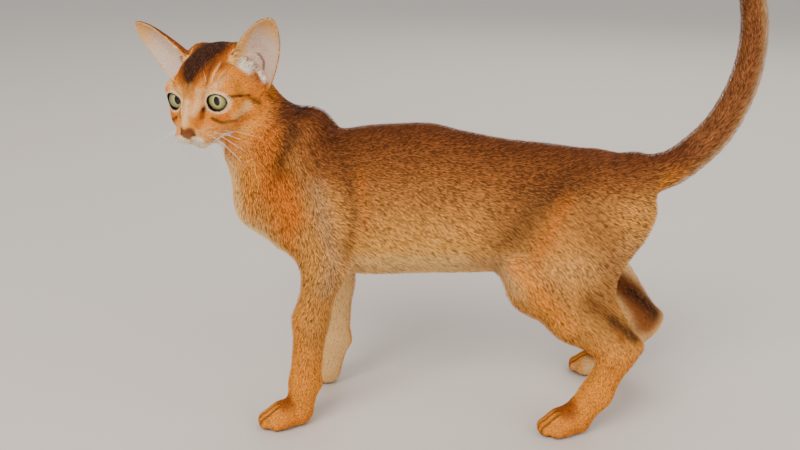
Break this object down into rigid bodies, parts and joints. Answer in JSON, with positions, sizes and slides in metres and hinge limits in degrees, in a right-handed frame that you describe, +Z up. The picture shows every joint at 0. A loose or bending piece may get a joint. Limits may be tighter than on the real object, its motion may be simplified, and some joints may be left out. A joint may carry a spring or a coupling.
{
  "type": "abyssinian cat",
  "caption": "Young ruddy Abyssinian cat standing on all fours, head turned to its left, large ears up and tail raised in a curve over its back.",
  "frame": {"origin": "on the floor, under the middle of the bounding box", "axes": "-X is the way the body faces, -Y is towards the cat's left side, +Z is up"},
  "size_m": [0.4724, 0.1266, 0.4031],
  "materials": {
    "ticked_fur": "short ticked fur, soft sheen",
    "pale_fur": "short pale orange fur, soft sheen",
    "dark_fur": "short dark brown ticked fur, soft sheen",
    "nose_leather": "bare, slightly moist skin",
    "eye": "clear gloss over an olive iris"
  },
  "bodies": {
    "root": {"face": "pale_fur", "skull": "ticked_fur", "nose": "nose_leather", "eye_left": "eye", "ear_left": "ticked_fur", "eye_right": "eye", "ear_right": "ticked_fur", "neck": "ticked_fur", "trunk": "ticked_fur", "foreleg_left": "pale_fur", "forepaw_left": "pale_fur", "thigh_left": "ticked_fur", "shank_left": "dark_fur", "hindpaw_left": "pale_fur", "foreleg_right": "pale_fur", "forepaw_right": "pale_fur", "thigh_right": "ticked_fur", "shank_right": "dark_fur", "hindpaw_right": "pale_fur", "tail_1": "dark_fur", "tail_2": "dark_fur", "tail_3": "dark_fur", "tail_4": "dark_fur"}
  },
  "joints": []
}
